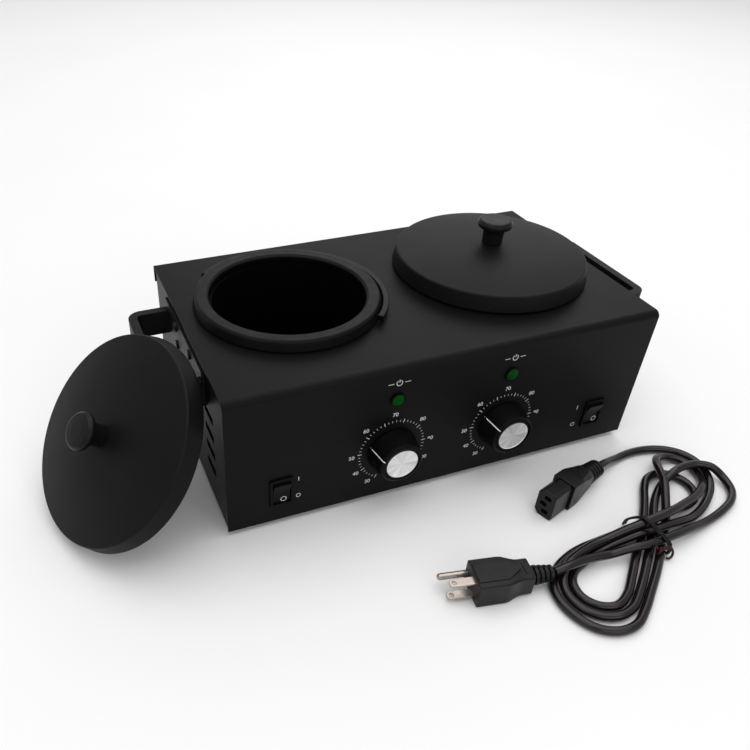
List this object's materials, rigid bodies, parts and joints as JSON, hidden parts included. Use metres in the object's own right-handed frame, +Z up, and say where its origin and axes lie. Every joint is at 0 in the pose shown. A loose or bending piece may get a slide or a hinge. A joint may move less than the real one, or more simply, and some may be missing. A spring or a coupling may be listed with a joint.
{
  "type": "wax warmer pot",
  "caption": "Twin wax warmer: black steel housing with side handles, lift-out pots with bail handles, domed lids, dials, lamps and rocker switches, and a detachable mains lead.",
  "frame": {"origin": "middle of the footprint of the warmer with one lid leaning on its left side, at the surface it stands on; the lead is not counted", "axes": "+X to the right side seen from the front, +Y to the back, +Z up"},
  "size_m": [0.5149, 0.3748, 0.1646],
  "materials": {
    "black_powder_coat": "fine matte powder coat",
    "black_powder_coat_lid": "fine matte powder coat",
    "foot_rubber": "matte",
    "steel": "zinc plated",
    "black_nylon": "fine texture",
    "aluminium": "spun",
    "heater_steel": "dull",
    "glass_wool": "woven glass sleeve",
    "thermostat_steel": "passivated",
    "copper": "drawn",
    "black_plastic": "satin",
    "green_lens": "clear green",
    "prong_metal": "nickel plated",
    "white_plastic": "satin",
    "wire_red": "satin",
    "dark_aluminium": "black non-stick",
    "bail_steel": "satin black",
    "black_phenolic": "satin",
    "silicone": "matte",
    "spun_aluminium": "spun",
    "cord_pvc": "smooth flexible PVC",
    "tie_plastic": "satin"
  },
  "bodies": {
    "housing": {"cover": "black_powder_coat", "back_panel": "black_powder_coat", "left_side_panel": "black_powder_coat", "right_side_panel": "black_powder_coat", "base_plate": "black_powder_coat", "feet": "foot_rubber", "foot_screws": "steel", "panel_screws": "steel", "left_handle": "black_nylon", "right_handle": "black_nylon", "handle_screws": "steel", "left_well": "aluminium", "right_well": "aluminium", "left_heater_band": "heater_steel", "right_heater_band": "heater_steel", "left_insulation": "glass_wool", "right_insulation": "glass_wool", "left_thermostat": "thermostat_steel", "right_thermostat": "thermostat_steel", "sensor_bulbs": "copper", "bushing_nuts": "steel", "left_lamp": "black_plastic", "right_lamp": "black_plastic", "left_lamp_lens": "green_lens", "right_lamp_lens": "green_lens", "left_switch_frame": "black_plastic", "right_switch_frame": "black_plastic", "power_inlet": "black_plastic", "inlet_pins": "prong_metal", "terminal_block": "white_plastic", "wiring": "wire_red", "cord": "cord_pvc", "cord_hank": "cord_pvc", "cord_tie": "tie_plastic", "plug": "cord_pvc", "plug_prongs": "prong_metal", "connector": "cord_pvc", "connector_contacts": "prong_metal"},
    "left_pot_body": {"left_pot": "dark_aluminium", "left_rim": "black_plastic"},
    "left_bail_body": {"left_bail": "bail_steel"},
    "right_pot_body": {"right_pot": "dark_aluminium", "right_rim": "black_plastic", "right_bail": "bail_steel"},
    "right_lid_body": {"right_lid": "black_powder_coat_lid", "right_lid_knob": "black_phenolic", "right_lid_screw": "steel", "right_lid_seal": "silicone"},
    "left_lid_body": {"left_lid": "black_powder_coat_lid", "left_lid_knob": "black_phenolic", "left_lid_screw": "steel", "left_lid_seal": "silicone"},
    "left_knob_body": {"left_knob": "black_plastic", "left_knob_cap": "spun_aluminium", "left_shaft": "steel"},
    "right_knob_body": {"right_knob": "black_plastic", "right_knob_cap": "spun_aluminium", "right_shaft": "steel"},
    "left_rocker_body": {"left_rocker": "black_plastic"},
    "right_rocker_body": {"right_rocker": "black_plastic"}
  },
  "joints": [
    {"name": "left_pot_lift", "type": "slide", "parent": "housing", "child": "left_pot_body", "axis": [0, 0, 1], "range_m": [0, 0.12]},
    {"name": "left_bail_swing", "type": "hinge", "parent": "left_pot_body", "child": "left_bail_body", "pos_m": [-0.04416, 0.01864, 0.1266], "axis": [0.7071, -0.7071, 0], "range_deg": [0, 150]},
    {"name": "right_pot_lift", "type": "slide", "parent": "housing", "child": "right_pot_body", "axis": [0, 0, 1], "range_m": [0, 0.12]},
    {"name": "right_lid_lift", "type": "slide", "parent": "right_pot_body", "child": "right_lid_body", "axis": [0, 0, 1], "range_m": [0, 0.12]},
    {"name": "left_lid_lift", "type": "slide", "parent": "housing", "child": "left_lid_body", "axis": [-0.7305, -0.2192, 0.6468], "range_m": [0, 0.1]},
    {"name": "left_knob_turn", "type": "hinge", "parent": "housing", "child": "left_knob_body", "pos_m": [-0.0042, -0.1, 0.0482], "axis": [0, 1, 0], "range_deg": [-120, 150]},
    {"name": "right_knob_turn", "type": "hinge", "parent": "housing", "child": "right_knob_body", "pos_m": [0.0902, -0.1, 0.0482], "axis": [0, 1, 0], "range_deg": [-120, 150]},
    {"name": "left_rocker_tilt", "type": "hinge", "parent": "housing", "child": "left_rocker_body", "pos_m": [-0.091, -0.0899, 0.0328], "axis": [-1, 0, 0], "range_deg": [0, 18]},
    {"name": "right_rocker_tilt", "type": "hinge", "parent": "housing", "child": "right_rocker_body", "pos_m": [0.1813, -0.0899, 0.0339], "axis": [-1, 0, 0], "range_deg": [0, 18]}
  ]
}
